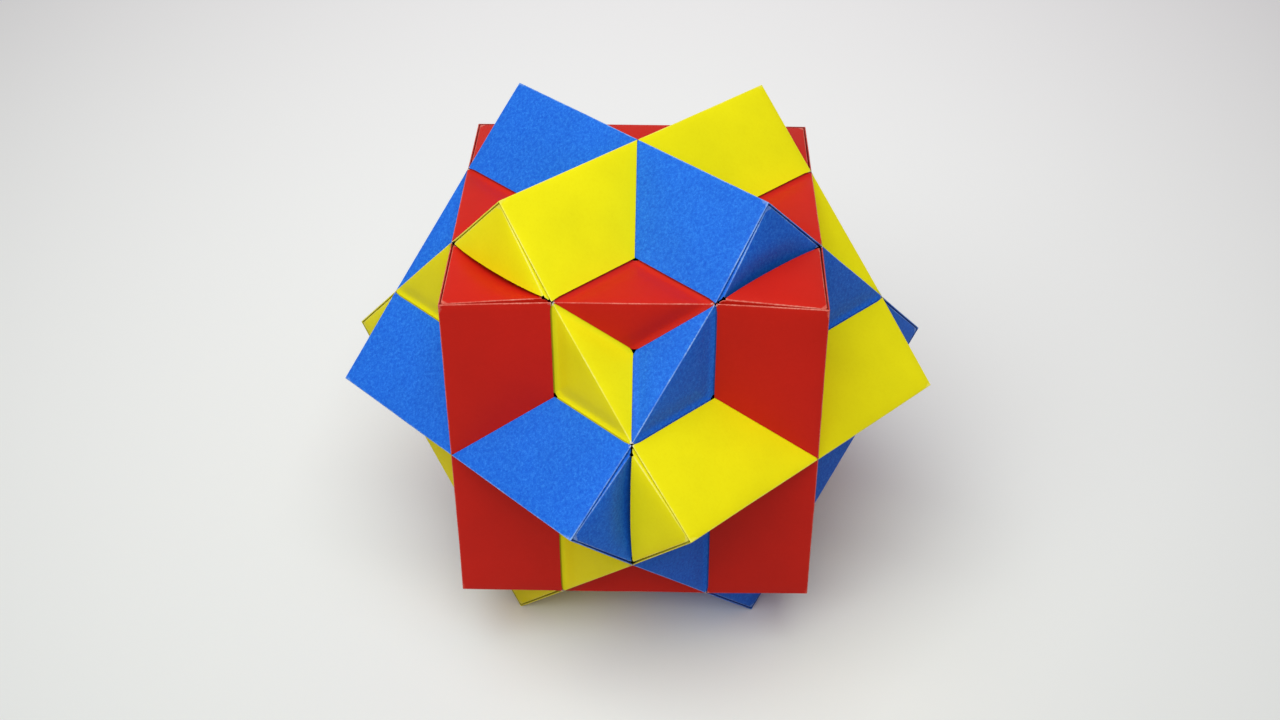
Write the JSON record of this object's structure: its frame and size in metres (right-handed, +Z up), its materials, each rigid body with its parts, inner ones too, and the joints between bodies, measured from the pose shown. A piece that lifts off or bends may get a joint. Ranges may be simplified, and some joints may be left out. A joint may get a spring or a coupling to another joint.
{
  "type": "modular origami polyhedron",
  "caption": "Modular origami model of interpenetrating cubes, folded from red, yellow and blue paper and held by tucked tabs, for display.",
  "frame": {"origin": "on the table under the model's centre, where the lowest yellow and blue edges cross", "axes": "+Z up through the crossing of the highest edges, -Y towards the picture's viewer; the red cube's side faces look along X and Y"},
  "size_m": [0.1194, 0.1194, 0.0989],
  "materials": {
    "red_paper": "matt one-side-coloured paper",
    "yellow_paper": "matt one-side-coloured paper",
    "blue_paper": "matt one-side-coloured paper"
  },
  "bodies": {
    "root": {"blue_bridge_1": "blue_paper", "blue_bridge_2": "blue_paper", "blue_bridge_3": "blue_paper", "blue_bridge_4": "blue_paper", "blue_bridge_5": "blue_paper", "blue_bridge_6": "blue_paper", "blue_bridge_7": "blue_paper", "blue_bridge_8": "blue_paper", "blue_corner_1": "blue_paper", "blue_corner_2": "blue_paper", "blue_corner_3": "blue_paper", "blue_corner_4": "blue_paper", "blue_corner_5": "blue_paper", "blue_corner_6": "blue_paper", "blue_corner_7": "blue_paper", "blue_corner_8": "blue_paper", "red_bridge_1": "red_paper", "red_bridge_2": "red_paper", "red_bridge_3": "red_paper", "red_bridge_4": "red_paper", "red_bridge_5": "red_paper", "red_bridge_6": "red_paper", "red_bridge_7": "red_paper", "red_bridge_8": "red_paper", "red_corner_1": "red_paper", "red_corner_2": "red_paper", "red_corner_3": "red_paper", "red_corner_4": "red_paper", "red_corner_5": "red_paper", "red_corner_6": "red_paper", "red_corner_7": "red_paper", "red_corner_8": "red_paper", "yellow_bridge_1": "yellow_paper", "yellow_bridge_2": "yellow_paper", "yellow_bridge_3": "yellow_paper", "yellow_bridge_4": "yellow_paper", "yellow_bridge_5": "yellow_paper", "yellow_bridge_6": "yellow_paper", "yellow_bridge_7": "yellow_paper", "yellow_bridge_8": "yellow_paper", "yellow_corner_1": "yellow_paper", "yellow_corner_2": "yellow_paper", "yellow_corner_3": "yellow_paper", "yellow_corner_4": "yellow_paper", "yellow_corner_5": "yellow_paper", "yellow_corner_6": "yellow_paper", "yellow_corner_7": "yellow_paper", "yellow_corner_8": "yellow_paper"}
  },
  "joints": []
}
